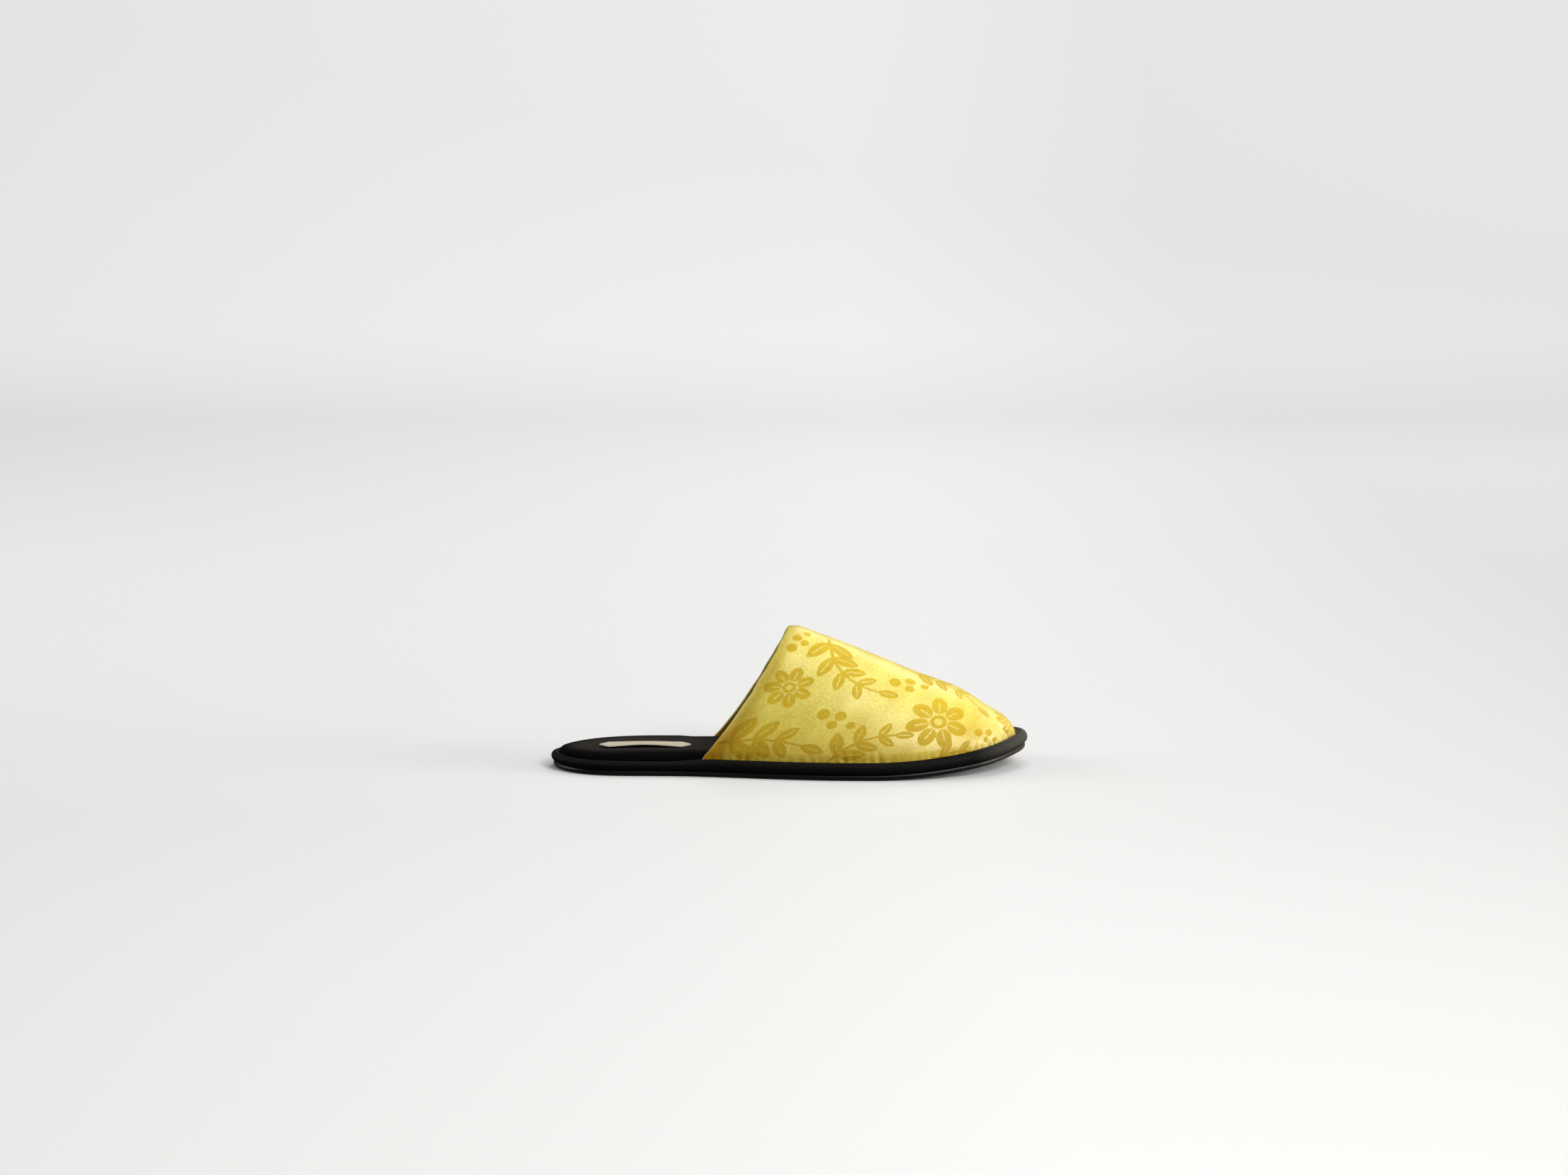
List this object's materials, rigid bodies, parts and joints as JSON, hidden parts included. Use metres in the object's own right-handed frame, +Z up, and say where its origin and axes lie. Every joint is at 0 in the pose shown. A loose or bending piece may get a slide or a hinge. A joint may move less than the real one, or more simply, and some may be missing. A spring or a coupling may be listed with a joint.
{
  "type": "slide slipper",
  "caption": "Closed-toe slide slipper with a padded figured satin upper, a ribbed tape-bound platform edge, a padded felt insole and a thin rubber outsole with toe spring.",
  "frame": {"origin": "on the floor, under the middle of the slipper's bounding box", "axes": "+X towards the toe, +Y towards the inner (medial) side of the right foot, +Z up"},
  "size_m": [0.2706, 0.0954, 0.0803],
  "materials": {
    "rubber": "matte black moulded rubber",
    "grosgrain": "ribbed black tape",
    "felt": "napped charcoal felt",
    "satin": "yellow satin with a tone-on-tone woven figure",
    "label_cloth": "plain cream woven tape"
  },
  "bodies": {
    "root": {"outsole": "rubber", "edge_binding": "grosgrain", "insole": "felt", "upper": "satin", "heel_label": "label_cloth"}
  },
  "joints": []
}
